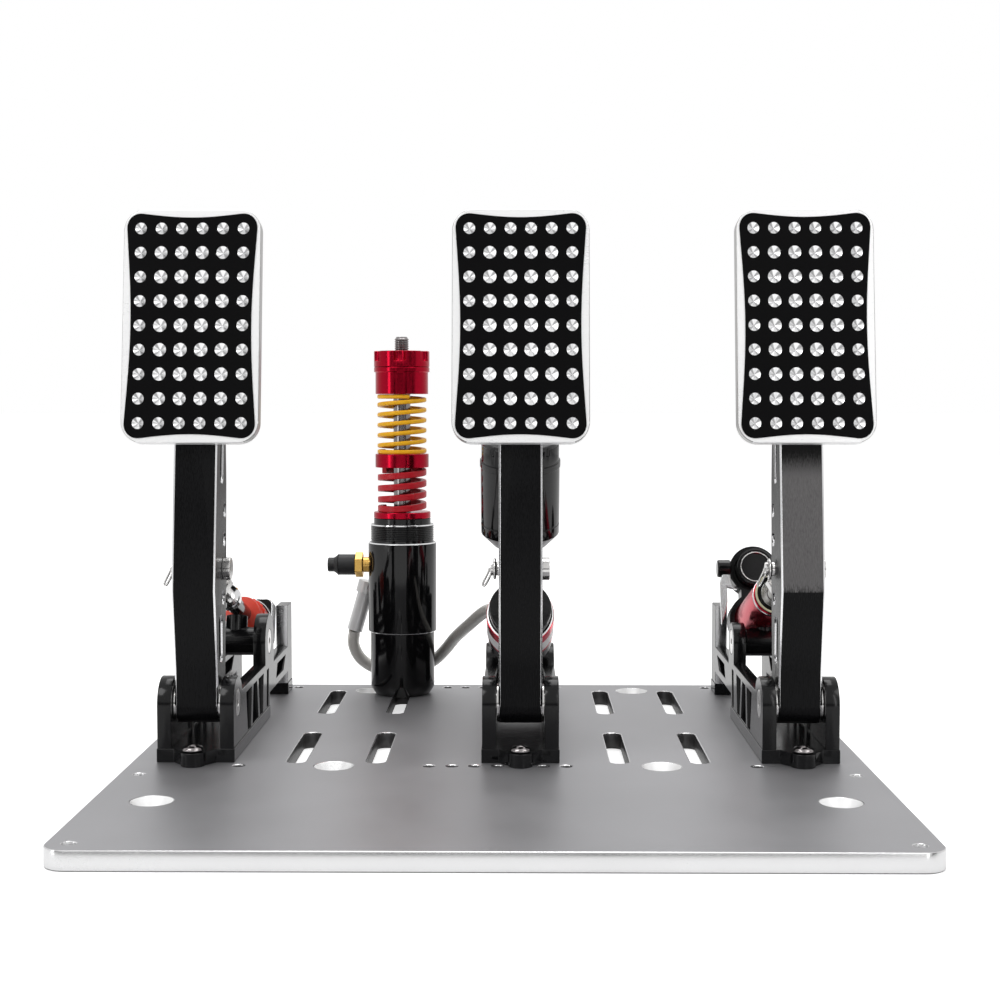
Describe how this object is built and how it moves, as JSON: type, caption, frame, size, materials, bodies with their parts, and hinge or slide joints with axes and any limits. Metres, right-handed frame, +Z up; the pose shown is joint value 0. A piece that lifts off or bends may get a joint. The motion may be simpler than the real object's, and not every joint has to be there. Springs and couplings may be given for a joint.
{
  "type": "sim racing pedal set",
  "caption": "Clutch, hydraulic brake and throttle pedals with truss side plates, struts, fluid reservoir and a spring tower on a slotted base plate.",
  "frame": {"origin": "centre of the underside of the base plate", "axes": "+X to the right of the driver, +Y away from the driver, +Z up"},
  "size_m": [0.4244, 0.44, 0.325],
  "materials": {
    "plate_grey": "satin grey anodised with fine straight grain",
    "black_anodised": "satin black anodised with bright chamfers",
    "bare_aluminium": "bright machined",
    "tread_black": "matt black with bright dimples",
    "bright_steel": "polished",
    "bush_bronze": "plain bearing metal",
    "red_anodised": "glossy crimson anodised",
    "wheel_red": "knurled",
    "spring_red": "gloss paint",
    "spring_yellow": "gloss paint",
    "brass": "turned",
    "rubber": "matt",
    "hose_braid": "steel braid under a clear cover"
  },
  "bodies": {
    "base": {"base_plate": "plate_grey", "foot_screws": "bright_steel", "clutch_feet": "black_anodised", "clutch_side_plates": "black_anodised", "clutch_pivot_pin": "bright_steel", "clutch_pivot_screws": "bright_steel", "brake_feet": "black_anodised", "brake_side_plates": "black_anodised", "brake_pivot_pin": "bright_steel", "brake_pivot_screws": "bright_steel", "throttle_feet": "black_anodised", "throttle_side_plates": "black_anodised", "throttle_pivot_pin": "bright_steel", "throttle_pivot_screws": "bright_steel", "tower_lower_body": "black_anodised", "tower_upper_body": "black_anodised", "tower_seat_ring": "red_anodised", "lower_spring": "spring_red", "bleed_screw": "brass", "bleed_cap": "rubber", "hose_fitting": "bright_steel", "brake_hose": "hose_braid"},
    "clutch_pedal": {"clutch_arm": "black_anodised", "clutch_arm_fittings": "bush_bronze", "clutch_pad": "bare_aluminium", "clutch_pad_tread": "tread_black", "clutch_clevis_pin": "bright_steel"},
    "brake_pedal": {"brake_arm": "black_anodised", "brake_arm_fittings": "bush_bronze", "brake_pad": "bare_aluminium", "brake_pad_tread": "tread_black", "brake_clevis_pin": "bright_steel"},
    "throttle_pedal": {"throttle_arm": "black_anodised", "throttle_arm_fittings": "bush_bronze", "throttle_pad": "bare_aluminium", "throttle_pad_tread": "tread_black", "throttle_clevis_pin": "bright_steel"},
    "clutch_strut": {"clutch_cradle": "black_anodised", "clutch_cylinder": "black_anodised", "clutch_end_block": "black_anodised"},
    "clutch_push_rod": {"clutch_rod": "bright_steel"},
    "clutch_wheel": {"clutch_preload_wheel": "wheel_red"},
    "brake_master": {"brake_master_cylinder": "black_anodised", "brake_front_cap": "black_anodised", "brake_red_bands": "red_anodised", "brake_silver_band": "bare_aluminium", "fluid_reservoir": "black_anodised", "reservoir_cap": "black_anodised"},
    "brake_push_rod": {"brake_rod": "bright_steel"},
    "throttle_strut": {"throttle_cradle": "black_anodised", "throttle_tube": "red_anodised", "throttle_tube_ring": "black_anodised", "throttle_damper": "black_anodised", "throttle_damper_holder": "bare_aluminium"},
    "throttle_push_rod": {"throttle_rod": "bright_steel"},
    "tower_piston": {"tower_rod": "bright_steel", "tower_top_sleeve": "red_anodised"},
    "tower_collar": {"tower_mid_collar": "red_anodised", "upper_spring": "spring_yellow"},
    "tower_adjuster": {"tower_nut": "red_anodised"}
  },
  "joints": [
    {"name": "clutch_press", "type": "hinge", "parent": "base", "child": "clutch_pedal", "pos_m": [-0.173, -0.022, 0.042], "axis": [-1, 0, 0], "range_deg": [0, 18], "stiffness_Nm_per_rad": 14, "springref_deg": -14.32},
    {"name": "clutch_swing", "type": "hinge", "parent": "base", "child": "clutch_strut", "pos_m": [-0.173, 0.098, 0.06], "axis": [-1, 0, 0], "range_deg": [0, 0.77]},
    {"name": "clutch_push", "type": "slide", "parent": "clutch_strut", "child": "clutch_push_rod", "axis": [0, 0.9511, -0.309], "range_m": [0, 0.02415]},
    {"name": "brake_press", "type": "hinge", "parent": "base", "child": "brake_pedal", "pos_m": [0.013, -0.022, 0.042], "axis": [-1, 0, 0], "range_deg": [0, 8], "stiffness_Nm_per_rad": 40, "springref_deg": -8.59},
    {"name": "brake_swing", "type": "hinge", "parent": "base", "child": "brake_master", "pos_m": [0.013, 0.098, 0.041], "axis": [-1, 0, 0], "range_deg": [0, 2.1]},
    {"name": "brake_push", "type": "slide", "parent": "brake_master", "child": "brake_push_rod", "axis": [0, 0.8157, -0.5784], "range_m": [0, 0.01001]},
    {"name": "throttle_press", "type": "hinge", "parent": "base", "child": "throttle_pedal", "pos_m": [0.173, -0.022, 0.042], "axis": [-1, 0, 0], "range_deg": [0, 18], "stiffness_Nm_per_rad": 10, "springref_deg": -17.19},
    {"name": "throttle_swing", "type": "hinge", "parent": "base", "child": "throttle_strut", "pos_m": [0.173, 0.098, 0.06], "axis": [-1, 0, 0], "range_deg": [0, 0.77]},
    {"name": "throttle_push", "type": "slide", "parent": "throttle_strut", "child": "throttle_push_rod", "axis": [0, 0.9511, -0.309], "range_m": [0, 0.02415]},
    {"name": "tower_pull", "type": "slide", "parent": "base", "child": "tower_piston", "axis": [0, 0, -1], "range_m": [0, 0.0102], "deforming": ["upper_spring"]},
    {"name": "tower_collar_slide", "type": "slide", "parent": "base", "child": "tower_collar", "axis": [0, 0, -1], "range_m": [0, 0.0032], "deforming": ["lower_spring"]},
    {"name": "clutch_wheel_turn", "type": "hinge", "parent": "clutch_strut", "child": "clutch_wheel", "pos_m": [-0.173, -0.012, 0.119], "axis": [0, 0.9511, -0.309], "continuous": true},
    {"name": "tower_nut_turn", "type": "hinge", "parent": "tower_piston", "child": "tower_adjuster", "pos_m": [-0.07, 0.187, 0.246], "axis": [0, 0, 1], "continuous": true}
  ],
  "couplings": [
    {"joint": "clutch_swing", "follows": "clutch_press", "ratio": 0.04},
    {"joint": "clutch_push", "follows": "clutch_press", "m_per_rad": 0.07625},
    {"joint": "brake_swing", "follows": "brake_press", "ratio": 0.256},
    {"joint": "brake_push", "follows": "brake_press", "m_per_rad": 0.07025},
    {"joint": "throttle_swing", "follows": "throttle_press", "ratio": 0.04},
    {"joint": "throttle_push", "follows": "throttle_press", "m_per_rad": 0.07625},
    {"joint": "tower_pull", "follows": "brake_press", "m_per_rad": 0.07162},
    {"joint": "tower_collar_slide", "follows": "brake_press", "m_per_rad": 0.02149}
  ]
}
